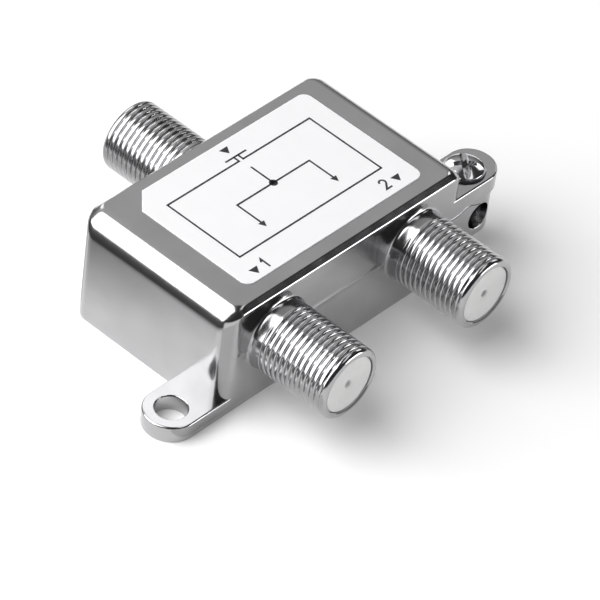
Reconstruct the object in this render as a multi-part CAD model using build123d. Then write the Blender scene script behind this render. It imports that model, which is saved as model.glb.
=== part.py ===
from build123d import *
import math
import os

# Two way coaxial splitter for aerial and satellite leads. Sizes are in millimetres.
# The origin is the middle of the underside of the body. X runs along the long side, Y points
# to the input port and Z is up. The body is a die cast box, open underneath, with three threaded
# ports, a fixing tab and a ground lug cast on it. A plate closes the underside.

# Body of the casting
body_length = 40.9
body_depth = 24.4
body_height = 15.9
corner_radius = 2.1          # upright corners
end_round = 2.6              # top edges over the two short ends
side_round = 0.7             # top edges over the two port sides
wall = 1.6
roof = 1.8
cavity_corner = 1.0

# Ports
port_height = 8.7            # axis above the underside
output_spacing = 23.7        # between the two outputs
port_length = 11.8           # from wall to tip
thread_diameter = 9.525      # 3/8-32 thread, outside
tip_chamfer = 0.65
collar_diameter = 8.5        # plain neck between wall and thread
collar_length = 1.7
flare_reach = 2.0            # hollow flare where the port leaves the wall, beyond the neck
flare_length = 1.3
socket_diameter = 7.7        # bore that takes the front insulator
socket_floor = 0.6           # floor of that bore, outside the wall face

# Front insulator, contact and rear bush of each port
insulator_recess = 0.25
insulator_length = 2.4
insulator_hole = 1.1
contact_diameter = 2.4
contact_bore = 1.15
contact_bore_depth = 6.0
contact_slot = 0.4
contact_slot_length = 4.5
contact_neck = 1.5           # diameter through the rear bush
tail_width = 0.8             # square wire
tail_reach = 2.4             # from the bush's flange to the upright part of the tail
tail_stub = 0.7              # length that shows under the board
bush_diameter = 4.4
bush_flange_diameter = 6.4
bush_flange = 0.8
fit_gap = 0.02               # clearance all round between pieces pushed together

# Fixing tab at one end, level with the underside
tab_reach = 8.15             # beyond the end wall
tab_width = 7.0
tab_thickness = 2.3
tab_hole = 4.0
tab_hole_inset = 3.5         # from the tab's outer end
edge_break = 0.25            # bevel on the top edges of tab and lug

# Ground lug at the other end
lug_width = 6.5
lug_bottom = 3.1
lug_top = 11.4
lug_split = 9.0              # parting line, below which the lug is shorter
lug_step = 0.6
wire_hole = 3.6
wire_hole_height = 6.1
clamp_inset = 4.45           # screw and wire hole, from the lug's outer end
washer_wall_gap = 1.05       # from the end wall to the washer under the screw

# Ground screw with its captive washer
screw_diameter = 3.0
screw_tip_height = 5.0       # above the underside, screwed right down
screw_tip_chamfer = 0.4
screw_clearance = 0.05       # radial, in the lug
head_diameter = 4.9
head_height = 0.8
head_edge = 0.3
slot_width = 0.95
slot_depth = 0.45
slot_angle = 50.0            # as the screw was left, from the X axis
cross_length = 3.0
cross_width = 0.75
cross_depth = 0.75
washer_diameter = 5.3
washer_thickness = 0.3

# Label on the top
label_length = 30.4
label_depth = 19.7
label_shift_x = 0.2          # stuck on slightly off the middle
label_shift_y = 0.25
label_thickness = 0.15
label_round = 1.2
label_cut = 2.5              # corner cut off at the fixing tab's end, input side

# Cover plate in a rebate of the rim
cover_thickness = 0.8
cover_ledge = 0.7
cover_gap = 0.05

# Circuit board and the ribs it rests against
board_thickness = 1.2
board_bottom = 3.2
board_gap = 0.8              # to the cavity walls
board_corner = 1.0
rib_width = 2.0
rib_depth = 1.5
rib_spacing = 9.0
pin_hole_gap = 0.1

# Transformers, chokes and chips on the board
core_length = 5.6
core_width = 3.4
core_height = 3.6
core_hole = 1.3
core_hole_spacing = 2.6
core_corner = 0.6
magnet_wire = 0.36
winding_turns = 3
winding_groove = 0.08        # depth between neighbouring turns
winding_stand_off = 0.25     # gap between the core's ends and the wire
winding_corner = 0.4
rod_diameter = 2.2
rod_length = 7.6             # of the input's choke
choke_wire = 0.6
choke_turns = 5
choke_groove = 0.12          # depth between neighbouring turns
choke_sides = 10             # each turn is drawn with this many sides
choke_clearance = 0.05
input_choke_gap = 4.8        # from the input contact's tail to the end of its choke
input_choke_shift = 1.2
output_choke_gap = 2.5
choke_spacing = 1.3          # from the outputs' rods to the input's coil
chip_length = 3.2
chip_width = 1.6
capacitor_height = 1.2
resistor_height = 0.6
chip_gap = 1.1               # from a contact's tail to its capacitor
resistor_inset = 2.4         # from the board's output edge

half_length = body_length / 2
half_depth = body_depth / 2
cavity_length = body_length - 2 * wall
cavity_depth = body_depth - 2 * wall
board_top = board_bottom + board_thickness
board_length = cavity_length - 2 * board_gap
board_depth = cavity_depth - 2 * board_gap
lug_middle_y = -half_depth + lug_width / 2
clamp_x = half_length + washer_wall_gap + washer_diameter / 2
lug_reach = clamp_x - half_length + clamp_inset
winding_length = core_width + 2 * (winding_stand_off + magnet_wire)
coil_radius = rod_diameter / 2 + choke_clearance + choke_wire
ports = {
    "in": (0.0, 1),
    "out_1": (-output_spacing / 2, -1),
    "out_2": (output_spacing / 2, -1),
}


def port_plane(name):
    """Plane on the wall's outer face, with z pointing out of the port and y up."""
    x, side = ports[name]
    return Plane(origin=(x, side * half_depth, port_height), x_dir=(-side, 0, 0), z_dir=(0, side, 0))


def rod(diameter, start, end):
    """Plain cylinder along z from start to end."""
    seat = (Align.CENTER, Align.CENTER, Align.MIN)
    return Pos(0, 0, start) * Cylinder(diameter / 2, end - start, align=seat)


def plate(face, bottom, top):
    return extrude(Pos(0, 0, bottom) * face, top - bottom)


def end_profile():
    """Outline seen from the port side, with the long rounds at both ends of the top."""
    face = Pos(0, body_height / 2) * Rectangle(body_length, body_height)
    return fillet(face.vertices().group_by(Axis.Y)[-1], end_round)


def side_profile():
    face = Pos(0, body_height / 2) * Rectangle(body_depth, body_height)
    return fillet(face.vertices().group_by(Axis.Y)[-1], side_round)


def body_block():
    plan = plate(RectangleRounded(body_length, body_depth, corner_radius), 0, body_height)
    along = extrude(Plane.XZ * end_profile(), half_depth + 1, both=True)
    across = extrude(Plane.YZ * side_profile(), half_length + 1, both=True)
    return plan & along & across


def port_barrel():
    """One port, solid, revolved about z. It starts inside the wall, and two cones make its flare."""
    collar = collar_diameter / 2
    thread = thread_diameter / 2
    foot = collar + flare_reach
    bend = math.sqrt(0.5)
    with BuildPart() as barrel:
        with BuildSketch(Plane.XZ):
            with BuildLine():
                Polyline(
                    (0, -wall / 2),
                    (foot, -wall / 2),
                    (foot, 0),
                    (foot - bend * flare_reach, (1 - bend) * flare_length),
                    (collar, flare_length),
                    (collar, collar_length),
                    (thread, collar_length),
                    (thread, port_length - tip_chamfer),
                    (thread - tip_chamfer, port_length),
                    (0, port_length),
                    close=True,
                )
            make_face()
        revolve(axis=Axis.Z)
    return barrel.part


def port_bore():
    """Socket for the front insulator and the hole for the rear bush, cut from each port."""
    socket = rod(socket_diameter, socket_floor, port_length + 1)
    bush = rod(bush_diameter, -wall - 1, socket_floor + 1)
    return socket + bush


def tongue(reach, width):
    """Plan of a tab that leaves the end wall at x = 0 and ends in a half round."""
    radius = width / 2
    length = reach - radius + corner_radius
    straight = Pos(length / 2 - corner_radius, 0) * Rectangle(length, width)
    return straight + Pos(reach - radius, 0) * Circle(radius)


def broken_top(solid, size):
    """The solid with a bevel round its top face."""
    return chamfer(solid.faces().sort_by(Axis.Z)[-1].edges(), size)


def fixing_tab():
    tab = broken_top(plate(tongue(tab_reach, tab_width), 0, tab_thickness), edge_break)
    tab -= Pos(tab_reach - tab_hole_inset, 0) * rod(tab_hole, -1, tab_thickness + 1)
    return Pos(-half_length, -half_depth + tab_width / 2) * Rot(0, 0, 180) * tab


def ground_lug():
    upper = broken_top(plate(tongue(lug_reach, lug_width), lug_split, lug_top), edge_break)
    lower = plate(tongue(lug_reach - lug_step, lug_width), lug_bottom, lug_split)
    lug = Pos(half_length, lug_middle_y) * (upper + lower)
    across = Pos(clamp_x, lug_middle_y, wire_hole_height) * Rot(90, 0, 0)
    wire = across * rod(wire_hole, -lug_width, lug_width)
    bore = rod(screw_diameter + 2 * screw_clearance, wire_hole_height, lug_top + 1)
    return lug - wire - Pos(clamp_x, lug_middle_y) * bore


def board_ribs():
    """Ribs on the end walls that the circuit board is pushed up against."""
    face = Rectangle(2 * rib_depth, rib_width)
    ribs = [
        Pos(end * cavity_length / 2, side * rib_spacing / 2) * plate(face, board_top, body_height)
        for end in (-1, 1)
        for side in (-1, 1)
    ]
    return ribs


def cavity():
    """Room under the roof, round the ribs, and the rebate that takes the cover."""
    face = RectangleRounded(cavity_length, cavity_depth, cavity_corner)
    rebate = RectangleRounded(
        cavity_length + 2 * cover_ledge,
        cavity_depth + 2 * cover_ledge,
        cavity_corner + cover_ledge,
    )
    room = plate(face, -1, body_height - roof)
    for rib in board_ribs():
        room -= rib
    return room + plate(rebate, -1, cover_thickness)


def make_housing():
    housing = body_block()
    for name in ports:
        housing += port_plane(name).location * port_barrel()
    housing += fixing_tab()
    housing += ground_lug() - body_block()
    housing -= cavity()
    for name in ports:
        housing -= port_plane(name).location * port_bore()
    return housing


def make_cover():
    face = RectangleRounded(
        cavity_length + 2 * (cover_ledge - cover_gap),
        cavity_depth + 2 * (cover_ledge - cover_gap),
        cavity_corner + cover_ledge - cover_gap,
    )
    return plate(face, 0, cover_thickness)


def make_label():
    """Thin label, with one corner cut off at the fixing tab's end, input side."""
    towards_cut = Axis((0, 0, 0), (-1, 1, 0))
    face = Rectangle(label_length, label_depth)
    face = fillet(face.vertices().sort_by(towards_cut)[:-1], label_round)
    face = chamfer(face.vertices().sort_by(towards_cut)[-1], label_cut)
    return Pos(label_shift_x, label_shift_y) * plate(face, body_height, body_height + label_thickness)


def make_insulator():
    """Front insulator of a port, on the port's own axis."""
    front = port_length - insulator_recess
    back = front - insulator_length
    disc = rod(socket_diameter - 2 * fit_gap, back, front)
    return disc - rod(insulator_hole, back - 1, front + 1)


def make_bush():
    """Rear bush, pushed into the wall from inside, with its flange on the wall."""
    shank = rod(bush_diameter - 2 * fit_gap, -wall, socket_floor)
    flange = rod(bush_flange_diameter, -wall - bush_flange, -wall)
    return shank + flange - rod(contact_neck + 2 * fit_gap, -wall - bush_flange - 1, socket_floor + 1)


def make_contact():
    """Split spring tube, its neck through the bush and its tail turned down to the board."""
    tube_end = port_length - insulator_recess - insulator_length
    neck_end = -wall - bush_flange
    tube = rod(contact_diameter, socket_floor, tube_end)
    tube -= rod(contact_bore, tube_end - contact_bore_depth, tube_end + 1)
    slot_middle = tube_end - contact_slot_length / 2
    tube -= Pos(0, 0, slot_middle) * Box(contact_diameter + 1, contact_slot, contact_slot_length)
    neck = rod(contact_neck, neck_end, socket_floor)
    turn = neck_end - tail_reach
    drop = port_height - board_bottom + tail_stub
    path = Polyline((0, 0, neck_end), (0, 0, turn), (0, -drop, turn))
    wire = Plane(origin=(0, 0, neck_end), z_dir=(0, 0, -1)) * Rectangle(tail_width, tail_width)
    tail = sweep(wire, path=path, transition=Transition.RIGHT)
    return tube + neck + tail


def tail_place(name):
    """Where a contact's tail passes through the board."""
    x, side = ports[name]
    return x, side * (half_depth - wall - bush_flange - tail_reach)


def make_board():
    face = Rectangle(board_length, board_depth)
    face = chamfer(face.vertices(), board_corner)
    board = plate(face, board_bottom, board_top)
    hole = rod(math.hypot(tail_width, tail_width) + 2 * pin_hole_gap, board_bottom - 1, board_top + 1)
    for name in ports:
        board -= Pos(*tail_place(name)) * hole
    return board


def make_washer():
    hole = screw_diameter + 2 * screw_clearance
    return rod(washer_diameter, lug_top, lug_top + washer_thickness) - rod(hole, lug_top - 1, lug_top + 1)


def make_screw():
    seat = lug_top + washer_thickness
    top = seat + head_height
    head = broken_top(rod(head_diameter, seat, top), head_edge)
    shank = rod(screw_diameter, screw_tip_height, seat)
    shank = chamfer(shank.faces().sort_by(Axis.Z)[0].edges(), screw_tip_chamfer)
    slot = Pos(0, 0, top - slot_depth / 2) * Box(head_diameter + 1, slot_width, slot_depth)
    cross = Pos(0, 0, top - cross_depth / 2) * Box(cross_width, cross_length, cross_depth)
    along = Pos(0, 0, top - cross_depth / 2) * Box(cross_length, cross_width, cross_depth)
    return Rot(0, 0, slot_angle) * (head + shank - slot - cross - along)


def make_core():
    """Two hole ferrite core standing on the board, its holes along y."""
    face = Pos(0, core_height / 2) * Rectangle(core_length, core_height)
    face = chamfer(face.vertices(), core_corner)
    holes = [Pos(s * core_hole_spacing / 2, core_height / 2) * Circle(core_hole / 2) for s in (-1, 1)]
    for hole in holes:
        face -= hole
    return Pos(0, 0, board_top) * extrude(Plane.XZ * face, core_width / 2, both=True)


def winding_ring(wire, height):
    """One closed turn of square wire, seen from above, round the web between a core's holes."""
    length = winding_length - magnet_wire
    outside = Rectangle(core_hole_spacing + wire, length + wire)
    outside = chamfer(outside.vertices(), winding_corner)
    inside = Rectangle(core_hole_spacing - wire, length - wire)
    inside = chamfer(inside.vertices(), winding_corner - wire / 2)
    return plate(outside - inside, -height / 2, height / 2)


def make_winding():
    """Turns of magnet wire lying on each other, with a groove between neighbours."""
    middle = board_top + core_height / 2
    stack = winding_turns * magnet_wire
    winding = Pos(0, 0, middle) * winding_ring(magnet_wire - 2 * winding_groove, stack)
    for i in range(winding_turns):
        height = middle + (i - (winding_turns - 1) / 2) * magnet_wire
        winding += Pos(0, 0, height) * winding_ring(magnet_wire, magnet_wire - winding_groove)
    return winding


def choke_rod(name):
    """Start and end of a choke's rod, as (x, y).

    The input's choke lies beside its contact. Those of the outputs lie behind theirs, as long as
    the room that the input's choke leaves them.
    """
    x, y = tail_place(name)
    if name == "in":
        start = x - tail_width / 2 - input_choke_gap
        height = y - input_choke_shift
        return (start - rod_length, height), (start, height)
    coil_edge = choke_rod("in")[0][1] - coil_radius
    return (x, y + tail_width / 2 + output_choke_gap), (x, coil_edge - choke_spacing)


def choke_place(name):
    """Middle of a choke's rod, which lies along y before it is turned."""
    start, end = choke_rod(name)
    turn = 90 if name == "in" else 0
    return Pos((start[0] + end[0]) / 2, (start[1] + end[1]) / 2, board_top + coil_radius) * Rot(0, 0, turn)


def make_rod(name):
    """Ferrite rod of a choke."""
    length = math.dist(*choke_rod(name))
    return choke_place(name) * Rot(90, 0, 0) * rod(rod_diameter, -length / 2, length / 2)


def make_coil(name):
    """Single layer coil on a choke's rod, each turn a ridge, with its two ends down to the board."""
    bore = coil_radius - choke_wire
    length = choke_turns * choke_wire
    coil = plate(RegularPolygon(coil_radius - choke_groove, choke_sides), -length / 2, length / 2)
    for i in range(choke_turns):
        middle = (i - (choke_turns - 1) / 2) * choke_wire
        half = (choke_wire - choke_groove) / 2
        coil += plate(RegularPolygon(coil_radius, choke_sides), middle - half, middle + half)
    coil -= plate(RegularPolygon(bore, choke_sides, major_radius=False), -length, length)
    coil = Rot(90, 0, 0) * coil
    leg = plate(Rectangle(choke_wire, choke_wire), -coil_radius, 0)
    for side in (-1, 1):
        coil += Pos(bore + choke_wire / 2, side * (length - choke_wire) / 2) * leg
    return choke_place(name) * coil


def make_chip(height):
    seat = (Align.CENTER, Align.CENTER, Align.MIN)
    return Pos(0, 0, board_top) * Box(chip_length, chip_width, height, align=seat)


resistor_y = resistor_inset - board_depth / 2
room_start = resistor_y + chip_width / 2
room_end = tail_place("in")[1] - tail_width / 2
core_gap = (room_end - room_start - 2 * winding_length) / 3
matching_place = Pos(0, room_end - core_gap - winding_length / 2)
splitting_place = Pos(0, room_start + core_gap + winding_length / 2)
parts = {
    "housing": make_housing(),
    "back_cover": make_cover(),
    "label": make_label(),
    "circuit_board": make_board(),
    "ground_washer": Pos(clamp_x, lug_middle_y) * make_washer(),
    "ground_screw": Pos(clamp_x, lug_middle_y) * make_screw(),
    "matching_core": matching_place * make_core(),
    "matching_winding": matching_place * make_winding(),
    "splitting_core": splitting_place * make_core(),
    "splitting_winding": splitting_place * make_winding(),
    "balance_resistor": Pos(0, resistor_y) * make_chip(resistor_height),
}
for name in ports:
    place = port_plane(name).location
    parts[name + "_insulator"] = place * make_insulator()
    parts[name + "_bush"] = place * make_bush()
    parts[name + "_contact"] = place * make_contact()
    parts[name + "_choke_core"] = make_rod(name)
    parts[name + "_choke_coil"] = make_coil(name)
    x, y = tail_place(name)
    inward = -1 if x > 0 else 1
    chip_x = x + inward * (tail_width / 2 + chip_gap + chip_length / 2)
    parts[name + "_capacitor"] = Pos(chip_x, y) * make_chip(capacitor_height)

os.makedirs("parts", exist_ok=True)
for name, solid in parts.items():
    solid.label = name
    export_step(solid, "parts/" + name + ".step")
    print(name, round(solid.volume, 2))
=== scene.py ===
import math

import bpy
from mathutils import Matrix, Vector, noise


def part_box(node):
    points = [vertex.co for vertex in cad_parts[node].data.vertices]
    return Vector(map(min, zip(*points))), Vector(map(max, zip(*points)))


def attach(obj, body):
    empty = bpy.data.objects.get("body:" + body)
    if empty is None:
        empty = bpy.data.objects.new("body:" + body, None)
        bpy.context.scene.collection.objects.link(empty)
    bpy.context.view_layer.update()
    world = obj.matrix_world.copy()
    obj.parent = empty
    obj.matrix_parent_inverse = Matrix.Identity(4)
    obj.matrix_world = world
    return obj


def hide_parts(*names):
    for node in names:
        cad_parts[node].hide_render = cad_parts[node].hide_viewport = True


# Looks of a two way coaxial splitter. Sizes are in millimetres and become metres in make_piece.
# X runs along the long side, Y points to the input port and Z is up.

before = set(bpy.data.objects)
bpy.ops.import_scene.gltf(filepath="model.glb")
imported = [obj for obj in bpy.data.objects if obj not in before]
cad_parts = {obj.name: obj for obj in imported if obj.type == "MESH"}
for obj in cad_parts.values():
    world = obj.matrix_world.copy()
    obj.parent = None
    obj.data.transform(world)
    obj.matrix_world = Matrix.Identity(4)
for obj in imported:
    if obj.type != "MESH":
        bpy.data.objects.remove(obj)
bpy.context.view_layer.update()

MM = 0.001
PORTS = ("in", "out_1", "out_2")

# Body of the casting, its length, depth and height the same as in the solids
HALF_LENGTH = 20.45
HALF_DEPTH = 12.2
BODY_HEIGHT = 15.9
CORNER = 2.1
END_ROUND = 2.6
END_RISE = 3.2
SIDE_ROUND = 0.7
SIDE_RISE = 0.8
TOP_CORNER = 0.8
RIM_ROUND = 0.12
WALL = 1.6
ROOF = 1.8
CAVITY_CORNER = 1.0
LEDGE = 0.7

# Runs of the bevelled top edge of a port side, from the wall up: the run's slope in degrees, its length
# in proportion to the others, and its divisions
BEVEL_RUNS = (
    (80, 0.03, 1),
    (68, 0.03, 1),
    (58, 0.08, 3),
    (52, 0.03, 1),
    (45, 0.79, 9),
    (30, 0.04, 1),
    (12, 0.04, 1),
)

# Divisions of curves and walls
CORNER_STEPS = 14
CAVITY_STEPS = 8
SIDE_SPACING = 0.45
LOWER_WALL_RINGS = 16
UPPER_WALL_RINGS = 12
RIM_STEPS = 3
EDGE_STEPS = 4
FLARE_STEPS = 16
TIP_STEPS = 9
TONGUE_STEPS = 28
HOLE_STEPS = 5
LABEL_CORNER_STEPS = 10
DISC_EDGE_STEPS = 5
HEAD_EDGE_STEPS = 6
DOME_STEPS = 9
BARREL_STEPS_PER_TURN = 15
SCREW_STEPS_PER_TURN = 8

# Sides of round things
BARREL_SIDES = 112
SOCKET_SIDES = 96
BUSH_SIDES = 64
HOLE_SIDES = 72
BORE_SIDES = 48
DOT_SIDES = 24
DISC_SIDES = 96
WASHER_SIDES = 72
SCREW_SIDES = 64

# Ports
PORT_LENGTH = 11.8
COLLAR = 4.68
COLLAR_LENGTH = 1.45

# A barrel flares into the wall by the reach, in a curve that is squarer for a higher power, and its
# neck tapers outwards by the cone
FLARE_CONE = 0.1
FLARE_REACH = 0.8
FLARE_LENGTH = 1.4
FLARE_POWER = 6.0
FLARE_SUNK = 0.03

# Threads, which fade in and out over part of a turn
THREAD = 4.7625
THREAD_PITCH = 25.4 / 32
THREAD_DEPTH = 0.24
THREAD_SHARPNESS = 6.0
THREAD_CROWN = 0.09
THREAD_GAP = 0.1
THREAD_FADE_IN = 0.5 * THREAD_PITCH
THREAD_FADE_OUT = 0.35 * THREAD_PITCH

# Tip of a port, its socket and the hole behind it
TIP_ROUND = 0.6
SOCKET = 3.85
SOCKET_FLOOR = 0.6
MOUTH_BEVEL = 0.1
MOUTH_OVER = 0.02
BUSH_HOLE = 2.2

# Fixing tab and ground lug
TAB_WIDTH = 7.0
TAB_THICKNESS = 2.3
TAB_HOLE = 2.0
TAB_HOLE_INSET = 3.5
LUG_WIDTH = 6.5
LUG_BOTTOM = 3.1
LUG_SPLIT = 9.0
LUG_OVERLAP = 0.2
LUG_STEP = 0.6
WIRE_HOLE = 1.8
WIRE_HEIGHT = 6.1
SCREW_BORE = 1.55
BORE_BEVEL = 0.1
EDGE = 0.25
HOLE_EDGE = 0.18
SPLIT_EDGE = 0.06
HIDDEN_EDGE = 0.05

# Parting line of the two halves of the mould, on the two port sides
PARTING_HEIGHT = 8.75
PARTING_HALF_WIDTH = 0.14
PARTING_PROUD = 0.08

# Where it runs on over the lug: distances past the body's end, and heights above the parting line
RIDGE_PATH = (
    (-2.65, -0.15),
    (-1.15, -0.3),
    (-0.05, -0.15),
    (1.05, 0.2),
    (1.85, 0.1),
    (2.55, -0.25),
    (3.55, -0.55),
)
RIDGE_SUNK = 0.2

# How far cutters reach past the faces that they cut
OVERSHOOT = 1.0
HOLE_OVER = 0.5

# A hole's cutter is wider than its mouth outside, and its rounds run on by some degrees past the face
HOLE_CLEARANCE = 0.3
HOLE_PAST = 5

# Label, whose cut off corner gets shorter by the shortening's share of an inset
LABEL_CORNER = 1.2
LABEL_CUT = 2.5
CUT_SHORTENING = 0.59

# Height of the ink on the label, and how far its top stays below the part's highest point
INK = 0.02
INK_SUNK = INK / 4

# Upper edge of the label's film, as (inset, depth below its top)
LABEL_EDGE = ((0.0, 0.04), (0.015, 0.01), (0.05, 0.0))

# Marks on the label
LINE = 0.25
FRAME_LEFT = -12.1
FRAME_RIGHT = 12.25
FRAME_FRONT = -5.5
FRAME_BACK = 6.3
SYMBOL_X = 0.4
SYMBOL_GAP = 0.35
SYMBOL_BAR = 7.2
SYMBOL_BAR_HALF = 1.65
STEM_TOP = 4.7
FORK_Y = 1.0
FORK_REACH = 6.2
FORK_FOOT = -2.9
FORK_TIP_HALF = 0.5
FORK_TIP_LENGTH = 0.95
DOT = 0.55
NUMERAL_HEIGHT = 1.6
NUMERALS = ((1, -10.5, -8.9), (2, 10.4, -8.55))
ARROWS = ((0.21, 8.63), (-12.35, -8.3), (12.4, -7.95))
ARROW_HALF = 0.7
ARROW_BACK = 0.5
ARROW_POINT = 0.6

# Insulators, whose faces lie back from the ports' tips
DISC_INSET = 0.25
DISC_THICKNESS = 2.4
DISC_PLAY = 0.02
DISC_EDGE = 0.16
DISC_BACK_BEVEL = 0.15
PIN_HOLE = 0.45

# Dish of an insulator's front down to its pin hole, as (radius, depth below the front)
DISC_DISH = (
    (SOCKET - 0.62, 0.01),
    (SOCKET - 1.22, 0.05),
    (1.4, 0.08),
    (0.9, 0.1),
    (PIN_HOLE + 0.1, 0.14),
    (PIN_HOLE, 0.25),
)

# Ground screw, its washer and the cover
WASHER_HOLE = 1.55
WASHER_EDGE = 0.08
SCREW_TURN = 50
SCREW_THREAD = 1.48
SCREW_PITCH = 0.5
SCREW_THREAD_DEPTH = 0.16
SCREW_THREAD_MARGIN = 0.45
SCREW_POINT = 1.1
SCREW_POINT_LENGTH = 0.4
SCREW_NECK = 1.3
SCREW_NECK_LENGTH = 0.2
HEAD = 2.45
HEAD_EDGE = 0.15
HEAD_FOOT_BEVEL = 0.06
HEAD_SLOPE = 28
DOME_START = 65
DOME_END = 89
SLOT_HALF = 0.5
SLOT_DEPTH = 0.42
SLOT_HOLLOW = 0.3
SLOT_TAPER = 0.05
SLOT_FLARE = 0.1
SLOT_OVER = 0.5
SLOT_REACH = 3
COVER_EDGE = 0.2

# Cross recess of the screw, as (height above the head's top, half length, half width)
CROSS_LEVELS = ((-1.3, 0.5, 0.22), (0.1, 1.7, 0.42), (0.4, 1.9, 0.42))

# Camera of the photograph, in degrees and millimetres, its focal length in pixels of that picture
CAMERA_AZIMUTH = -51.864
CAMERA_ELEVATION = 42.232
CAMERA_ROLL = 7.779
CAMERA_DISTANCE = 580.567
CAMERA_SHIFT_RIGHT = 4.446
CAMERA_SHIFT_UP = -6.354
CAMERA_HEIGHT = 7.5
CAMERA_FOCAL = 4874.854
PICTURE_SIDE = 600
SENSOR = 36.0

# Stage
FLOOR_HALF = 900
FLOOR_LIFT = 0.13
# Height above the floor of the dark sheets that paint shade into the metal's reflections
SHADE_SHEET_HEIGHT = 0.2
WORLD_DARK = (0.04, 0.04, 0.04)
WORLD_LIGHT = (0.65, 0.65, 0.65)

# The axes along which the surroundings grow light, each from a start to an end
WORLD_SHARES = (("Y", 0.25, 0.42), ("Z", -0.05, 0.67))


def node_box(name):
    """Lowest and highest corner of a node, in millimetres."""
    low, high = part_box(name)
    return low / MM, high / MM


label_low, label_high = node_box("label")
washer_low, washer_high = node_box("ground_washer")
screw_low, screw_high = node_box("ground_screw")
housing_low, housing_high = node_box("housing")
cover_high = node_box("back_cover")[1]
CLAMP_X = (washer_low.x + washer_high.x) / 2
CLAMP_Y = (washer_low.y + washer_high.y) / 2
LUG_TOP = washer_low.z
LUG_REACH = housing_high.x - HALF_LENGTH
TAB_REACH = -housing_low.x - HALF_LENGTH


# Places

def port_matrix(name):
    """Place of a port where its axis meets the wall: local z points out and local y up."""
    low, high = node_box(name + "_insulator")
    side = 1 if low.y > 0 else -1
    place = Vector(((low.x + high.x) / 2, side * HALF_DEPTH, (low.z + high.z) / 2))
    x_axis = Vector((-side, 0, 0))
    y_axis = Vector((0, 0, 1))
    z_axis = Vector((0, side, 0))
    turn = Matrix((x_axis, y_axis, z_axis)).transposed()
    return Matrix.Translation(place) @ turn.to_4x4()


def clamp_matrix(height=0.0):
    """Place on the ground screw's axis."""
    return Matrix.Translation((CLAMP_X, CLAMP_Y, height))


def tab_matrix():
    """Place of the fixing tab on the body's end wall: local x points out."""
    place = Matrix.Translation((-HALF_LENGTH, -HALF_DEPTH + TAB_WIDTH / 2, 0))
    return place @ Matrix.Rotation(math.pi, 4, "Z")


def lug_matrix():
    """Place of the ground lug on the body's other end wall: local x points out."""
    return Matrix.Translation((HALF_LENGTH, -HALF_DEPTH + LUG_WIDTH / 2, 0))


# Meshes

def make_piece(name, points, faces):
    """Mesh object from points in millimetres."""
    mesh = bpy.data.meshes.new(name)
    mesh.from_pydata([(x * MM, y * MM, z * MM) for x, y, z in points], [], faces)
    mesh.validate()
    piece = bpy.data.objects.new(name, mesh)
    bpy.context.scene.collection.objects.link(piece)
    return piece


def ring_faces(rings, count, closed=False):
    """Quads between neighbouring rings of equal count, facing out for rings that climb anticlockwise."""
    faces = []
    for k in range(rings if closed else rings - 1):
        a = k * count
        b = ((k + 1) % rings) * count
        for i in range(count):
            j = (i + 1) % count
            faces.append((a + i, a + j, b + j, b + i))
    return faces


def stack(name, rings, place=None):
    """Closed solid through rings of points, with a flat face on its first and last ring."""
    count = len(rings[0])
    points = [Vector(p) for ring in rings for p in ring]
    if place is not None:
        points = [place @ p for p in points]
    faces = ring_faces(len(rings), count)
    faces.append(tuple(reversed(range(count))))
    faces.append(tuple(range((len(rings) - 1) * count, len(rings) * count)))
    return make_piece(name, points, faces)


def circle(radius, height, sides):
    """Ring of points round z."""
    step = 2 * math.pi / sides
    return [(radius * math.cos(i * step), radius * math.sin(i * step), height) for i in range(sides)]


def turned(name, profile, sides, place):
    """Solid of revolution through (radius, height) pairs, from one end face to the other."""
    return stack(name, [circle(r, h, sides) for r, h in profile], place)


def turned_ring(name, profile, sides, place):
    """Ring with a hole through it, turned from a closed section of (radius, height) pairs."""
    points = [place @ Vector(p) for r, h in profile for p in circle(r, h, sides)]
    return make_piece(name, points, ring_faces(len(profile), sides, closed=True))


def arc(centre_r, centre_h, radius, start, end, steps):
    """Points (r, h) on an arc, angles in degrees from the radial direction."""
    points = []
    for i in range(steps + 1):
        a = math.radians(start + (end - start) * i / steps)
        points.append((centre_r + radius * math.cos(a), centre_h + radius * math.sin(a)))
    return points


def edge_round(radius, steps):
    """Rounded lower edge as (inset, rise) pairs, from the face up to the side."""
    pairs = []
    for k in range(steps + 1):
        a = math.radians(90 * k / steps)
        pairs.append((radius * (1 - math.sin(a)), radius * (1 - math.cos(a))))
    return pairs


def combine(base, others, operation):
    """Joins the others to the base, or cuts them from it, and removes them."""
    for other in others:
        change = base.modifiers.new("change", "BOOLEAN")
        change.operation = operation
        change.solver = "MANIFOLD"
        change.object = other
        bpy.context.view_layer.update()
        done = base.evaluated_get(bpy.context.evaluated_depsgraph_get())
        mesh = bpy.data.meshes.new_from_object(done)
        base.modifiers.clear()
        old = base.data
        base.data = mesh
        bpy.data.meshes.remove(old)
        bpy.data.objects.remove(other)


def shade(piece, angle):
    """Smooth shading that keeps edges sharper than the angle, and flat faces flat."""
    mesh = piece.data
    mesh.polygons.foreach_set("use_smooth", [True] * len(mesh.polygons))
    mesh.set_sharp_from_angle(angle=math.radians(angle))
    weighted = piece.modifiers.new("weighted", "WEIGHTED_NORMAL")
    weighted.mode = "FACE_AREA"
    weighted.weight = 80
    weighted.keep_sharp = True
    return piece


# Materials

def new_material(name, colour, metallic, roughness):
    """Principled material with its constants on the shader itself."""
    material = bpy.data.materials.new(name)
    material.use_nodes = True
    shader = material.node_tree.nodes["Principled BSDF"]
    shader.inputs["Base Color"].default_value = (*colour, 1)
    shader.inputs["Metallic"].default_value = metallic
    shader.inputs["Roughness"].default_value = roughness
    return material, shader


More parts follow.
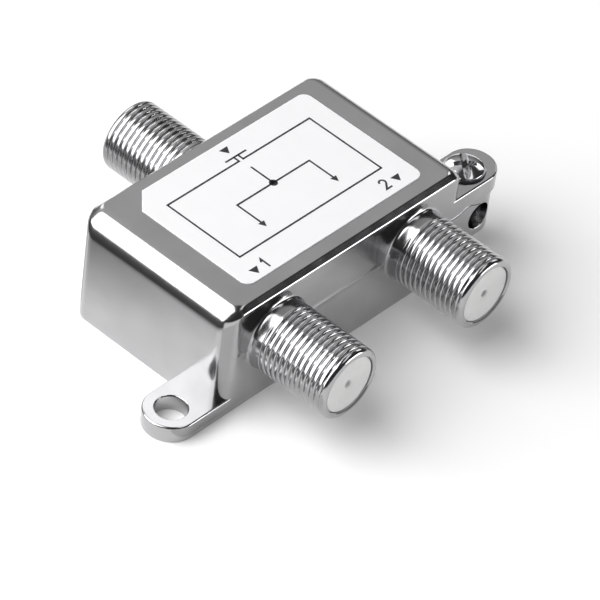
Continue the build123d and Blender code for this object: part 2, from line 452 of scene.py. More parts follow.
def noise_node(material, scale, detail):
    """Noise in object space, its scale in features per metre."""
    nodes = material.node_tree.nodes
    place = nodes.new("ShaderNodeTexCoord")
    texture = nodes.new("ShaderNodeTexNoise")
    texture.inputs["Scale"].default_value = scale
    texture.inputs["Detail"].default_value = detail
    material.node_tree.links.new(place.outputs["Object"], texture.inputs["Vector"])
    return texture.outputs["Fac"]


def value_ramp(material, source, low, high, start=0.3, end=0.7):
    """Maps a value from start..end to the numbers low..high."""
    node = material.node_tree.nodes.new("ShaderNodeMapRange")
    node.inputs["From Min"].default_value = start
    node.inputs["From Max"].default_value = end
    node.inputs["To Min"].default_value = low
    node.inputs["To Max"].default_value = high
    material.node_tree.links.new(source, node.inputs["Value"])
    return node.outputs["Result"]


def colour_ramp(material, source, low, high, start=0.3, end=0.7):
    """Maps a value from start..end to the colours low..high."""
    node = material.node_tree.nodes.new("ShaderNodeValToRGB")
    for element, position, colour in zip(node.color_ramp.elements, (start, end), (low, high)):
        element.position = position
        element.color = (*colour, 1)
    material.node_tree.links.new(source, node.inputs["Fac"])
    return node.outputs["Color"]


def add_bump(material, shader, source, distance):
    """Bump of that height in metres, on top of one that is already there."""
    links = material.node_tree.links
    bump = material.node_tree.nodes.new("ShaderNodeBump")
    bump.inputs["Distance"].default_value = distance
    bump.inputs["Strength"].default_value = 1.0
    links.new(source, bump.inputs["Height"])
    before = shader.inputs["Normal"].links
    if before:
        links.new(before[0].from_socket, bump.inputs["Normal"])
    links.new(bump.outputs["Normal"], shader.inputs["Normal"])


def nickel_material():
    """Bright nickel on a die casting, with faint waves and hazy patches."""
    material, shader = new_material("nickel_casting", (0.445, 0.445, 0.45), 1.0, 0.15)
    links = material.node_tree.links
    patches = noise_node(material, 160, 3)
    tint = colour_ramp(material, patches, (0.42, 0.42, 0.425), (0.47, 0.47, 0.475))
    links.new(tint, shader.inputs["Base Color"])
    haze = noise_node(material, 420, 4)
    links.new(value_ramp(material, haze, 0.13, 0.18), shader.inputs["Roughness"])
    add_bump(material, shader, noise_node(material, 260, 2), 0.00001)
    add_bump(material, shader, noise_node(material, 3000, 3), 0.0000012)
    return material


def plain_material(name, colour, metallic, roughness, grain=2500, height=0.000004, spread=0.05):
    """Material with slight changes of tone and a fine grain."""
    material, shader = new_material(name, colour, metallic, roughness)
    links = material.node_tree.links
    dark = tuple(c * (1 - spread) for c in colour)
    light = tuple(min(1.0, c * (1 + spread)) for c in colour)
    tone = noise_node(material, 300, 3)
    links.new(colour_ramp(material, tone, dark, light), shader.inputs["Base Color"])
    haze = noise_node(material, 900, 2)
    links.new(value_ramp(material, haze, roughness * 0.9, roughness * 1.1), shader.inputs["Roughness"])
    add_bump(material, shader, noise_node(material, grain, 3), height)
    return material


# Body of the casting

def corner_angles(steps):
    """Normal angles round the plan, as (corner centre signs, angle) pairs."""
    pairs = []
    for index, signs in enumerate(((1, 1), (-1, 1), (-1, -1), (1, -1))):
        for i in range(steps + 1):
            pairs.append((signs, math.radians(90 * (index + i / steps))))
    return pairs


def rounded_ring(half_x, half_y, radius, height, steps=CORNER_STEPS):
    """Points of a rounded rectangle, anticlockwise, with its straight sides divided.

    The sides are divided by the body's own length, so that rings of different size match.
    """
    corners = []
    for signs, angle in corner_angles(steps):
        x = signs[0] * (half_x - radius) + radius * math.cos(angle)
        y = signs[1] * (half_y - radius) + radius * math.sin(angle)
        corners.append(Vector((x, y, height)))
    ring = []
    per_corner = steps + 1
    for k in range(4):
        ring += corners[k * per_corner:(k + 1) * per_corner]
        a = corners[(k + 1) * per_corner - 1]
        b = corners[((k + 1) * per_corner) % len(corners)]
        length = 2 * (HALF_LENGTH - CORNER if k % 2 == 0 else HALF_DEPTH - CORNER)
        parts = round(length / SIDE_SPACING)
        ring += [a.lerp(b, i / parts) for i in range(1, parts)]
    return ring


def body_solid():
    """Box of the body: upright walls with a parting line, and rounded ends that blend into bevels."""
    outer = rounded_ring(HALF_LENGTH, HALF_DEPTH, CORNER, 0)
    inner = rounded_ring(HALF_LENGTH - END_ROUND, HALF_DEPTH - SIDE_ROUND, TOP_CORNER, 0)
    step = 1.0
    within = rounded_ring(HALF_LENGTH - step, HALF_DEPTH - step, CORNER - step, 0)
    normals = [(o - w).normalized() for o, w in zip(outer, within)]
    reach = [max((o - i).dot(n), SIDE_ROUND) for o, i, n in zip(outer, inner, normals)]
    shares = [(r - SIDE_ROUND) / (END_ROUND - SIDE_ROUND) for r in reach]
    rings = []
    for inset, rise in edge_round(RIM_ROUND, RIM_STEPS):
        rings.append([o - n * inset + Vector((0, 0, rise)) for o, n in zip(outer, normals)])
    feet = [BODY_HEIGHT - (1 - share) * SIDE_RISE - share * END_RISE for share in shares]
    seam_low = [PARTING_HEIGHT - PARTING_HALF_WIDTH] * len(outer)
    seam_high = [PARTING_HEIGHT + PARTING_HALF_WIDTH] * len(outer)
    rings += wall_rings(outer, [RIM_ROUND] * len(outer), seam_low, LOWER_WALL_RINGS)
    rings += parting_rings(outer, normals)
    rings += wall_rings(outer, seam_high, feet, UPPER_WALL_RINGS)
    bevel = bevel_points()
    steps = len(bevel) - 1
    for k, (side_out, side_down) in enumerate(bevel):
        a = math.radians(90 * k / steps)
        ring = []
        for o, i, share in zip(outer, inner, shares):
            out = (1 - share) * side_out + share * math.cos(a)
            down = (1 - share) * side_down * SIDE_RISE + share * (1 - math.sin(a)) * END_RISE
            ring.append(i + (o - i) * out + Vector((0, 0, BODY_HEIGHT - down)))
        rings.append(ring)
    return stack("housing_casting", rings)


def bevel_points():
    """Section of a port side's top edge, from the wall up, as shares out from and down from the top."""
    points = [(0.0, 0.0)]
    for slope, length, parts in BEVEL_RUNS:
        a = math.radians(slope)
        for _ in range(parts):
            inward, up = points[-1]
            points.append((inward + length / parts * math.cos(a), up + length / parts * math.sin(a)))
    inward_end, up_end = points[-1]
    return [(1 - inward / inward_end, 1 - up / up_end) for inward, up in points]


def wall_rings(outer, lows, highs, count):
    """Rings that divide the walls evenly between two heights, which are given for each point."""
    rings = []
    for k in range(1, count + 1):
        share = k / (count + 1)
        levels = [low + (high - low) * share for low, high in zip(lows, highs)]
        rings.append([o + Vector((0, 0, level)) for o, level in zip(outer, levels)])
    return rings


def parting_rings(outer, normals):
    """Low uneven ridge along the port sides, where the mould's halves met."""
    unevenness = 1.7
    middle = 0.75
    least = 0.35
    fade = 10
    rings = []
    for offset, share in ((-1, 0), (-0.1, 1), (0.1, 1), (1, 0)):
        height = PARTING_HEIGHT + offset * PARTING_HALF_WIDTH
        ring = []
        for o, n in zip(outer, normals):
            ragged = middle + noise.noise(Vector((o.x * unevenness, o.y, 0)))
            side = max(0.0, 1 - fade * (1 - abs(n.y)))
            proud = PARTING_PROUD * share * side * min(1.0, max(least, ragged))
            ring.append(o + n * proud + Vector((0, 0, height)))
        rings.append(ring)
    return rings


def cavity_cutters():
    """Room inside the casting and the rebate for the cover."""
    half_x = HALF_LENGTH - WALL
    half_y = HALF_DEPTH - WALL
    cutters = []
    for name, wider, top in (("room", 0, BODY_HEIGHT - ROOF), ("rebate", LEDGE, cover_high.z)):
        corner = CAVITY_CORNER + wider
        levels = (-OVERSHOOT, top)
        rings = [rounded_ring(half_x + wider, half_y + wider, corner, z, CAVITY_STEPS) for z in levels]
        cutters.append(stack(name, rings))
    return cutters


# Ports

def thread_profile(phase):
    """Share of the thread's depth cut away at that phase of a turn: broad low crests, narrow roots."""
    wave = 0.5 - 0.5 * math.cos(2 * math.pi * phase)
    return THREAD_CROWN * wave + (1 - THREAD_CROWN) * wave ** THREAD_SHARPNESS


def threaded_rings(rows, sides, pitch, depth):
    """Rings through rows of (radius, height, share of the thread), with a right-handed thread cut in."""
    rings = []
    for radius, height, cut in rows:
        ring = []
        for i in range(sides):
            turn = i / sides
            r = radius - cut * depth * thread_profile(height / pitch - turn)
            angle = 2 * math.pi * turn
            ring.append((r * math.cos(angle), r * math.sin(angle), height))
        rings.append(ring)
    return rings


def barrel_solid(name):
    """One port, solid, with its flare, neck, threads and rounded tip."""
    foot = COLLAR + FLARE_REACH + FLARE_CONE
    rows = [(foot, -WALL / 2, 0)]
    for k in range(FLARE_STEPS + 1):
        out = (1 - math.cos(math.pi * k / FLARE_STEPS)) / 2
        left = (1 - out) ** FLARE_POWER
        radius = foot - FLARE_REACH * (1 - left) ** (1 / FLARE_POWER) - FLARE_CONE * out
        rows.append((radius, (FLARE_LENGTH + FLARE_SUNK) * out - FLARE_SUNK, 0))
    rows.append((COLLAR, COLLAR_LENGTH, 0))
    start = COLLAR_LENGTH + THREAD_GAP
    end = PORT_LENGTH - TIP_ROUND
    count = round((end - start) / THREAD_PITCH * BARREL_STEPS_PER_TURN)
    for i in range(count + 1):
        height = start + (end - start) * i / count
        fade = min(1.0, (height - start) / THREAD_FADE_IN, (end - height) / THREAD_FADE_OUT)
        rows.append((THREAD, height, max(0.0, fade)))
    tip = arc(THREAD - TIP_ROUND, PORT_LENGTH - TIP_ROUND, TIP_ROUND, 0, 90, TIP_STEPS)
    rows += [(radius, height, 0) for radius, height in tip[1:]]
    rings = threaded_rings(rows, BARREL_SIDES, THREAD_PITCH, THREAD_DEPTH)
    return stack(name + "_barrel", rings, port_matrix(name))


def port_cutters(name):
    """Socket of a port, its mouth bevelled, and the hole for the bush behind it."""
    mouth = SOCKET + MOUTH_BEVEL
    rim = PORT_LENGTH + MOUTH_OVER
    socket = [(SOCKET, SOCKET_FLOOR), (SOCKET, rim - MOUTH_BEVEL)]
    socket += [(mouth, rim), (mouth, PORT_LENGTH + OVERSHOOT)]
    bush = [(BUSH_HOLE, -WALL - OVERSHOOT), (BUSH_HOLE, SOCKET_FLOOR + OVERSHOOT)]
    place = port_matrix(name)
    return [turned("socket", socket, SOCKET_SIDES, place), turned("bush", bush, BUSH_SIDES, place)]


# Tab and lug

def tongue_ring(reach, width, height, inset):
    """Outline of a tab that starts inside the wall and ends in a half round, drawn in by inset."""
    radius = width / 2 - inset
    centre = reach - width / 2
    ring = [Vector((-CORNER, -radius, height))]
    for i in range(TONGUE_STEPS + 1):
        a = math.radians(-90 + 180 * i / TONGUE_STEPS)
        ring.append(Vector((centre + radius * math.cos(a), radius * math.sin(a), height)))
    ring.append(Vector((-CORNER, radius, height)))
    return ring


def tongue_solid(name, reach, width, bottom, top, low_edge, high_edge, place):
    """Tab with small rounds on its lower and upper edges."""
    rings = []
    for inset, rise in edge_round(low_edge, EDGE_STEPS):
        rings.append(tongue_ring(reach, width, bottom + rise, inset))
    for inset, rise in reversed(edge_round(high_edge, EDGE_STEPS)):
        rings.append(tongue_ring(reach, width, top - rise, inset))
    return stack(name, rings, place)


def tab_solid():
    """Flat fixing tab, level with the underside."""
    return tongue_solid("tab", TAB_REACH, TAB_WIDTH, 0, TAB_THICKNESS, RIM_ROUND, EDGE, tab_matrix())


def lug_solids():
    """Ground lug in two steps, the upper one longer, with the parting line's ridge on its side."""
    place = lug_matrix()
    upper = tongue_solid("upper", LUG_REACH, LUG_WIDTH, LUG_SPLIT, LUG_TOP, SPLIT_EDGE, EDGE, place)
    reach = LUG_REACH - LUG_STEP
    top = LUG_SPLIT + LUG_OVERLAP
    lower = tongue_solid("lower", reach, LUG_WIDTH, LUG_BOTTOM, top, EDGE, HIDDEN_EDGE, place)
    return [upper, lower, lug_ridge()]


def lug_ridge():
    """Where the parting line runs on over the lug to the wire hole."""
    section = (
        (-RIDGE_SUNK, -PARTING_HALF_WIDTH),
        (PARTING_PROUD, 0),
        (-RIDGE_SUNK, PARTING_HALF_WIDTH),
    )
    rings = []
    for past, above in RIDGE_PATH:
        x = HALF_LENGTH + past
        height = PARTING_HEIGHT + above
        rings.append([(x, -HALF_DEPTH - out, height + up) for out, up in section])
    return stack("ridge", rings)


def hole_cutter(name, radius, bottom, top, place):
    """Cutter for a round hole with its two mouths rounded over."""
    mouth = radius + HOLE_EDGE
    wide = mouth + HOLE_CLEARANCE
    profile = [(wide, bottom - HOLE_OVER)]
    profile += arc(mouth, bottom + HOLE_EDGE, HOLE_EDGE, 270 + HOLE_PAST, 180, HOLE_STEPS)
    profile += arc(mouth, top - HOLE_EDGE, HOLE_EDGE, 180, 90 - HOLE_PAST, HOLE_STEPS)
    profile.append((wide, top + HOLE_OVER))
    return turned(name, profile, HOLE_SIDES, place)


def end_cutters():
    """The tab's hole, the wire hole across the lug and the screw's bore above it."""
    inset = Matrix.Translation((TAB_REACH - TAB_HOLE_INSET, 0, 0))
    across = clamp_matrix(WIRE_HEIGHT) @ Matrix.Rotation(math.pi / 2, 4, "X")
    bore = [(SCREW_BORE, WIRE_HEIGHT), (SCREW_BORE, LUG_TOP - BORE_BEVEL)]
    bore.append((SCREW_BORE + 2 * BORE_BEVEL, LUG_TOP + BORE_BEVEL))
    return [
        hole_cutter("tab_hole", TAB_HOLE, 0, TAB_THICKNESS, tab_matrix() @ inset),
        hole_cutter("wire_hole", WIRE_HOLE, -LUG_WIDTH / 2, LUG_WIDTH / 2, across),
        turned("bore", bore, BORE_SIDES, clamp_matrix()),
    ]


def casting():
    """The whole housing in one piece."""
    body = body_solid()
    combine(body, [barrel_solid(name) for name in PORTS] + [tab_solid()] + lug_solids(), "UNION")
    cutters = cavity_cutters()
    for name in PORTS:
        cutters += port_cutters(name)
    combine(body, cutters + end_cutters(), "DIFFERENCE")
    return shade(body, 32)


# Label

def label_outline(inset):
    """Outline of the label, anticlockwise: three round corners, and one cut off on the input side."""
    left = label_low.x + inset
    right = label_high.x - inset
    front = label_low.y + inset
    back = label_high.y - inset
    corner = LABEL_CORNER - inset
    cut = LABEL_CUT - inset * CUT_SHORTENING
    outline = []
    for x, y, start in ((left, front, 180), (right, front, 270), (right, back, 0)):
        centre_x = x + corner if x == left else x - corner
        centre_y = y + corner if y == front else y - corner
        outline += arc(centre_x, centre_y, corner, start, start + 90, LABEL_CORNER_STEPS)
    outline.append((left + cut, back))
    outline.append((left, back - cut))
    return outline


def make_label():
    """Film of the label, its upper edge slightly rounded."""
    top = label_high.z - INK
    levels = [(0.0, label_low.z)] + [(inset, top - down) for inset, down in LABEL_EDGE]
    rings = [[(x, y, z) for x, y in label_outline(inset)] for inset, z in levels]
    return shade(stack("label_film", rings), 60)


def flat_print(name, outlines):
    """Printed shapes on the label: each outline is an anticlockwise list of (x, y)."""
    points = []
    faces = []
    low = label_high.z - INK
    high = label_high.z - INK_SUNK
    for outline in outlines:
        count = len(outline)
        base = len(points)
        points += [(x, y, low) for x, y in outline] + [(x, y, high) for x, y in outline]
        faces += [tuple(base + i for i in face) for face in ring_faces(2, count)]
        faces.append(tuple(base + i for i in reversed(range(count))))
        faces.append(tuple(base + count + i for i in range(count)))
    return make_piece(name, points, faces)


def stroke(a, b):
    """Four corners of a straight line that runs past its two ends by half its width."""
    a = Vector(a)
    b = Vector(b)
    along = (b - a).normalized() * LINE / 2
    across = Vector((-along.y, along.x))
    corners = (a - along - across, b + along - across, b + along + across, a - along + across)
    return [tuple(p) for p in corners]


def ribbon(path):
    """Outline of a line along a path, with mitred corners."""
    path = [Vector(p) for p in path]
    sides = []
    for i, p in enumerate(path):
        before = (p - path[i - 1]).normalized() if i else None
        after = (path[i + 1] - p).normalized() if i + 1 < len(path) else None
        along = ((before or after) + (after or before)).normalized()
        across = Vector((along.y, -along.x))
        edge = before or after
        sides.append(across * (LINE / 2 / across.dot(Vector((edge.y, -edge.x)))))
    right = [tuple(p + s) for p, s in zip(path, sides)]
    left = [tuple(p - s) for p, s in zip(path, sides)]
    return right + left[::-1]


def pointer(x, y, half, length):
    """Triangle that points to -Y, the middle of its back at (x, y)."""
    return [(x - half, y), (x, y - length), (x + half, y)]


def numeral(digit, x, y):
    """Path of a plain 1 or 2, the middle of its foot at (x, y), drawn in shares of its height."""
    if digit == 1:
        shape = [(-0.22, 0.72), (0, 1), (0, 0)]
    else:
        bowl = [math.radians(170 - 27 * k) for k in range(9)]
        shape = [(0.27 * math.cos(a), 0.72 + 0.28 * math.sin(a)) for a in bowl]
        shape += [(-0.28, 0), (0.3, 0)]
    return [(x + across * NUMERAL_HEIGHT, y + up * NUMERAL_HEIGHT) for across, up in shape]


def diagram_marks():
    """Line diagram of one way in and two ways out: a stem, a fork with two pointers, and a dot."""
    left = SYMBOL_X - FORK_REACH
    right = SYMBOL_X + FORK_REACH
    fork = [(left, FORK_FOOT), (left, FORK_Y), (right, FORK_Y), (right, FORK_FOOT)]
    marks = [ribbon([(SYMBOL_X, STEM_TOP), (SYMBOL_X, FORK_Y)]), ribbon(fork)]
    marks += [pointer(x, FORK_FOOT, FORK_TIP_HALF, FORK_TIP_LENGTH) for x in (left, right)]
    dot = [math.radians(360 * k / DOT_SIDES) for k in range(DOT_SIDES)]
    marks.append([(SYMBOL_X + DOT * math.cos(a), FORK_Y + DOT * math.sin(a)) for a in dot])
    return marks


def frame_marks():
    """Frame lines, with a gap at the back from which two lines run up to a bar."""
    gap_left = SYMBOL_X - SYMBOL_GAP
    gap_right = SYMBOL_X + SYMBOL_GAP
    return [
        stroke((FRAME_LEFT, FRAME_FRONT), (FRAME_RIGHT, FRAME_FRONT)),
        stroke((FRAME_LEFT, FRAME_FRONT), (FRAME_LEFT, FRAME_BACK)),
        stroke((FRAME_RIGHT, FRAME_FRONT), (FRAME_RIGHT, FRAME_BACK)),
        stroke((FRAME_LEFT, FRAME_BACK), (gap_left, FRAME_BACK)),
        stroke((gap_right, FRAME_BACK), (FRAME_RIGHT, FRAME_BACK)),
        stroke((gap_left, FRAME_BACK), (gap_left, SYMBOL_BAR)),
        stroke((gap_right, FRAME_BACK), (gap_right, SYMBOL_BAR)),
        stroke((SYMBOL_X - SYMBOL_BAR_HALF, SYMBOL_BAR), (SYMBOL_X + SYMBOL_BAR_HALF, SYMBOL_BAR)),
    ]


def make_print():
    """All marks on the label: diagram, frame, numbers of the outputs, and a pointer at each port."""
    marks = diagram_marks() + frame_marks()
    marks += [ribbon(numeral(digit, x, y)) for digit, x, y in NUMERALS]
    marks += [pointer(x, y + ARROW_BACK, ARROW_HALF, ARROW_BACK + ARROW_POINT) for x, y in ARROWS]
    return flat_print("label_print", marks)


# Small pieces

def make_insulator(name):
    """Pale plastic disc in the mouth of a port, slightly dished, with a pin hole."""
    front = PORT_LENGTH - DISC_INSET
    back = front - DISC_THICKNESS
    outer = SOCKET - DISC_PLAY
    profile = [(PIN_HOLE, back), (outer - DISC_BACK_BEVEL, back), (outer, back + DISC_BACK_BEVEL)]
    profile.append((outer, front - DISC_EDGE))
    profile += arc(outer - DISC_EDGE, front - DISC_EDGE, DISC_EDGE, 15, 90, DISC_EDGE_STEPS)
    profile += [(radius, front - down) for radius, down in DISC_DISH]
    return shade(turned_ring(name + "_disc", profile, DISC_SIDES, port_matrix(name)), 50)


def make_washer():
    """Flat washer with softened edges."""
    outer = (washer_high.x - washer_low.x) / 2
    low = washer_low.z
    high = washer_high.z
    profile = [
        (WASHER_HOLE, low),
        (outer - WASHER_EDGE, low),
        (outer, low + WASHER_EDGE),
        (outer, high - WASHER_EDGE),
        (outer - WASHER_EDGE, high),
        (WASHER_HOLE + WASHER_EDGE, high),
        (WASHER_HOLE, high - WASHER_EDGE),
    ]
    return shade(turned_ring("washer_ring", profile, WASHER_SIDES, clamp_matrix()), 40)


def shank_rows(tip, seat):
    """Rows of the screw's shank from its point to the head: a threaded part and a plain neck."""
    rows = [(SCREW_POINT, tip, 0), (SCREW_THREAD, tip + SCREW_POINT_LENGTH, 0)]
    length = seat - tip - 2 * SCREW_THREAD_MARGIN
    for i in range(round(length / SCREW_PITCH * SCREW_STEPS_PER_TURN) + 1):
        height = tip + SCREW_THREAD_MARGIN + i * SCREW_PITCH / SCREW_STEPS_PER_TURN
        rows.append((SCREW_THREAD, height, 1 if i else 0))
    return rows + [(SCREW_NECK, seat - SCREW_NECK_LENGTH, 0), (SCREW_NECK, seat, 0)]


def head_rows(seat, top):
    """Rows of the screw's head: a rounded shoulder that runs into a low dome."""
    slope = math.radians(HEAD_SLOPE)
    shoulder = HEAD - HEAD_EDGE * (1 - math.sin(slope))
    dome = shoulder / math.sin(slope)
    edge_height = top - dome * (1 - math.cos(slope)) - HEAD_EDGE * math.cos(slope)
    profile = [(HEAD - HEAD_FOOT_BEVEL, seat), (HEAD, seat + HEAD_FOOT_BEVEL)]
    profile += arc(HEAD - HEAD_EDGE, edge_height, HEAD_EDGE, 0, 90 - HEAD_SLOPE, HEAD_EDGE_STEPS)
    profile += arc(0, top - dome, dome, DOME_START, DOME_END, DOME_STEPS)
    return [(radius, height, 0) for radius, height in profile]


def screw_recess(place, top):
    """Cutters for the slot, with its hollow floor, and for the tapered cross."""
    floor_half = SLOT_HALF - SLOT_TAPER
    mouth_half = SLOT_HALF + SLOT_FLARE
    section = [(-floor_half, -SLOT_DEPTH), (0, -SLOT_DEPTH - SLOT_HOLLOW), (floor_half, -SLOT_DEPTH)]
    section += [(mouth_half, SLOT_OVER), (-mouth_half, SLOT_OVER)]
    ends = (-SLOT_REACH, SLOT_REACH)
    slot = [[(along, across, top + up) for across, up in section] for along in ends]
    cuts = [stack("slot", slot, place)]
    corners = ((-1, -1), (1, -1), (1, 1), (-1, 1))
    for turn in (0, 90):
        rings = []
        for level, half_x, half_y in CROSS_LEVELS:
            rings.append([(x * half_x, y * half_y, top + level) for x, y in corners])
        cuts.append(stack("cross", rings, place @ Matrix.Rotation(math.radians(turn), 4, "Z")))
    return cuts


def make_screw():
    """Pan head screw with a slot and a cross recess, its shank threaded."""
    top = screw_high.z
    seat = washer_high.z
    place = clamp_matrix() @ Matrix.Rotation(math.radians(SCREW_TURN), 4, "Z")
    rows = shank_rows(screw_low.z, seat) + head_rows(seat, top)
    rings = threaded_rings(rows, SCREW_SIDES, SCREW_PITCH, SCREW_THREAD_DEPTH)
    screw = stack("screw_body", rings, place)
    combine(screw, screw_recess(place, top), "DIFFERENCE")
    return shade(screw, 35)


def make_cover():
    """Pressed plate that closes the underside, its edges rounded."""
    half_x = cover_high.x
    half_y = cover_high.y
    corner = CAVITY_CORNER + LEDGE
    rings = []
    for inset, rise in edge_round(COVER_EDGE, EDGE_STEPS) + [(0, cover_high.z)]:
        rings.append(rounded_ring(half_x - inset, half_y - inset, corner - inset, rise, CAVITY_STEPS))
    return shade(stack("cover_plate", rings), 40)


# Build

nickel = nickel_material()
white_plastic = plain_material("white_plastic", (0.8, 0.8, 0.79), 0.0, 0.45)
label_film = plain_material(
    "label_film", (0.93, 0.93, 0.94), 0.0, 0.4, grain=1500, height=0.000002, spread=0.008,
)
ink = plain_material("label_ink", (0.02, 0.02, 0.022), 0.0, 0.4)
screw_steel = plain_material("screw_steel", (0.64, 0.64, 0.65), 1.0, 0.12)
cover_steel = plain_material("cover_plate", (0.5, 0.5, 0.5), 1.0, 0.32)
contact_metal = plain_material("contact_metal", (0.72, 0.5, 0.24), 1.0, 0.25)
laminate = plain_material("board_laminate", (0.05, 0.22, 0.1), 0.0, 0.5)
ferrite = plain_material("ferrite", (0.05, 0.05, 0.055), 0.0, 0.6)
copper = plain_material("copper_wire", (0.65, 0.26, 0.1), 1.0, 0.3)
chip_ceramic = plain_material("chip_ceramic", (0.45, 0.36, 0.26), 0.0, 0.5)


def paint(piece, material):
    """Gives a piece one material in place of what it has."""
    piece.data.materials.clear()
    piece.data.materials.append(material)


def dress(piece, body, material, slot, *nodes):
    """Gives a piece its material and its body, and hides the nodes that it stands for."""
    paint(piece, material)
    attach(piece, body)
    if nodes:
        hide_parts(*nodes)


dress(casting(), "splitter", nickel, "nickel_casting", "housing")
dress(make_label(), "splitter", label_film, "label_film", "label")
dress(make_print(), "splitter", ink, "label_film")
dress(make_washer(), "washer", screw_steel, "screw_steel", "ground_washer")
dress(make_screw(), "screw", screw_steel, "screw_steel", "ground_screw")
dress(make_cover(), "splitter", cover_steel, "cover_plate", "back_cover")
for port in PORTS:
    dress(make_insulator(port), "splitter", white_plastic, "white_plastic", port + "_insulator")

# Materials of the inner nodes, by the ending of a node's name
inner = {
    "contact": contact_metal,
    "bush": white_plastic,
    "circuit_board": laminate,
    "coil": copper,
    "winding": copper,
    "core": ferrite,
    "capacitor": chip_ceramic,
    "resistor": chip_ceramic,
}
for name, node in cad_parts.items():
    for ending, material in inner.items():
        if name.endswith(ending):
            paint(node, material)


# Floor, lights and camera

def make_floor():
    """Pale floor, seen a little lighter than it is lit, so that it is white round a soft shadow."""
    corners = ((-1, -1), (1, -1), (1, 1), (-1, 1))
    points = [(x * FLOOR_HALF, y * FLOOR_HALF, 0) for x, y in corners]
    floor = make_piece("floor", points, [(0, 1, 2, 3)])
    material, shader = new_material("floor_paint", (0.93, 0.93, 0.93), 0.0, 0.9)
    nodes = material.node_tree.nodes
    links = material.node_tree.links
    rays = nodes.new("ShaderNodeLightPath")
    lift = None
    for ray in ("Is Camera Ray", "Is Glossy Ray", "Is Transmission Ray"):
        share = nodes.new("ShaderNodeMath")
        share.operation = "MULTIPLY_ADD"
        share.inputs[1].default_value = FLOOR_LIFT
        share.inputs[2].default_value = 0
        links.new(rays.outputs[ray], share.inputs[0])
        if lift:
            links.new(lift, share.inputs[2])
        lift = share.outputs["Value"]
    shader.inputs["Emission Color"].default_value = (1, 1, 1, 1)
    links.new(lift, shader.inputs["Emission Strength"])
    floor.data.materials.append(material)


def make_reflected_shade(name, outline, direction, cover, start, end):
    """Painted shade in reflections: a dark sheet just above the floor that only the metal sees, and that
    casts no shadow.

    Its cover grows along a direction on the floor, from none at the start to full at the end, in metres.
    """
    shade_sheet = make_piece(name, [(x, y, SHADE_SHEET_HEIGHT) for x, y in outline], [tuple(range(len(outline)))])
    material, shader = new_material(name + "_cloth", (0.01, 0.01, 0.01), 0.0, 0.9)
    nodes = material.node_tree.nodes
    links = material.node_tree.links
    place = nodes.new("ShaderNodeTexCoord")
    along = nodes.new("ShaderNodeVectorMath")
    along.operation = "DOT_PRODUCT"
    along.inputs[1].default_value = direction
    links.new(place.outputs["Object"], along.inputs[0])
    alpha = value_ramp(material, along.outputs["Value"], 0.0, cover, start, end)
    links.new(alpha, shader.inputs["Alpha"])
    shade_sheet.data.materials.append(material)
    shade_sheet.visible_camera = False
    shade_sheet.visible_diffuse = False
    shade_sheet.visible_shadow = False


def panel(name, centre, size_x, size_y, strength, metal_only=False):
    """Soft light that faces the object, its radiance the same as a white card of that strength.

    A panel for the metal only stands for a white card: it shines in reflections and lights nothing else.
    """
    data = bpy.data.lights.new(name, "AREA")
    data.shape = "RECTANGLE"
    data.size = size_x * MM
    data.size_y = size_y * MM
    data.energy = strength * math.pi * (size_x * MM) * (size_y * MM)
    lamp = bpy.data.objects.new(name, data)
    bpy.context.scene.collection.objects.link(lamp)
    lamp.location = Vector(centre) * MM
    lamp.rotation_euler = (-Vector(centre)).to_track_quat("-Z", "Y").to_euler()
    lamp.visible_diffuse = not metal_only


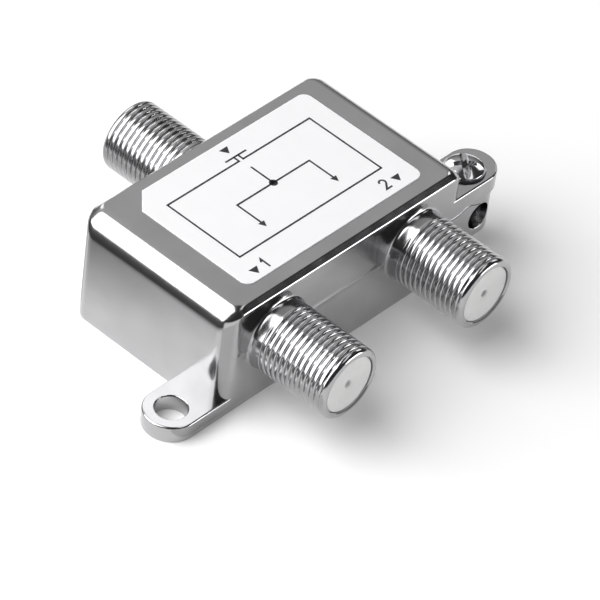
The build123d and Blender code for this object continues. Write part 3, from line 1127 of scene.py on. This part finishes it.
def make_world():
    """Dark surroundings, with a soft grey wall beyond the input side that darkens downwards."""
    world = bpy.data.worlds.new("surroundings")
    bpy.context.scene.world = world
    world.use_nodes = True
    nodes = world.node_tree.nodes
    links = world.node_tree.links
    place = nodes.new("ShaderNodeTexCoord")
    parts = nodes.new("ShaderNodeSeparateXYZ")
    links.new(place.outputs["Generated"], parts.inputs["Vector"])
    product = nodes.new("ShaderNodeMath")
    product.operation = "MULTIPLY"
    for i, (axis, start, end) in enumerate(WORLD_SHARES):
        share = value_ramp(world, parts.outputs[axis], 0.0, 1.0, start, end)
        links.new(share, product.inputs[i])
    tone = colour_ramp(world, product.outputs["Value"], WORLD_DARK, WORLD_LIGHT, 0.0, 1.0)
    links.new(tone, nodes["Background"].inputs["Color"])


def make_camera():
    """Camera at the photograph's angle, worked out from its azimuth, elevation and roll."""
    azimuth = math.radians(CAMERA_AZIMUTH)
    elevation = math.radians(CAMERA_ELEVATION)
    roll = math.radians(CAMERA_ROLL)
    back = Vector((
        math.cos(elevation) * math.sin(azimuth),
        -math.cos(elevation) * math.cos(azimuth),
        math.sin(elevation),
    ))
    level = (-back).cross(Vector((0, 0, 1))).normalized()
    upright = level.cross(-back)
    right = math.cos(roll) * level + math.sin(roll) * upright
    up = -math.sin(roll) * level + math.cos(roll) * upright
    target = Vector((0, 0, CAMERA_HEIGHT)) + CAMERA_SHIFT_RIGHT * level + CAMERA_SHIFT_UP * upright
    data = bpy.data.cameras.new("camera")
    data.sensor_width = SENSOR
    data.lens = CAMERA_FOCAL * SENSOR / PICTURE_SIDE
    camera = bpy.data.objects.new("camera", data)
    bpy.context.scene.collection.objects.link(camera)
    turn = Matrix((right, up, back)).transposed().to_4x4()
    camera.matrix_world = Matrix.Translation((target + back * CAMERA_DISTANCE) * MM) @ turn
    bpy.context.scene.camera = camera


make_floor()
# Painted shade that only the metal reflects: a dark far side beyond the tab end, and darker floor in
# front of the tab end and beside the input port
far_outline = ((-22, -4), (-22, 900), (-900, 900), (-900, -14), (-34, -14), (-34, -4))
make_reflected_shade("far_shade", far_outline, (-1, 0.45, 0), 1.0, 0.027, 0.045)
near_outline = ((-12, -12.5), (-12, -34), (-44, -34), (-44, -12.5))
make_reflected_shade("near_shade", near_outline, (-1, 0, 0), 0.3, 0.013, 0.022)
input_outline = ((-19.5, 13), (-2, 13), (-2, 48), (-19.5, 48))
make_reflected_shade("input_shade", input_outline, (-1, 0, 0), 0.42, 0.003, 0.011)
panel("overhead", (-446, 324, 461), 750, 1080, 3.85)
panel("beyond", (198, 466, 324), 230, 300, 1.8, metal_only=True)
panel("right", (516, 66, 294), 180, 180, 2.2, metal_only=True)
panel("above", (165, -110, 565), 560, 150, 1.4, metal_only=True)
panel("front", (406, -567, 90), 420, 165, 8.0)
make_world()
make_camera()
bpy.context.scene.view_settings.view_transform = "Standard"
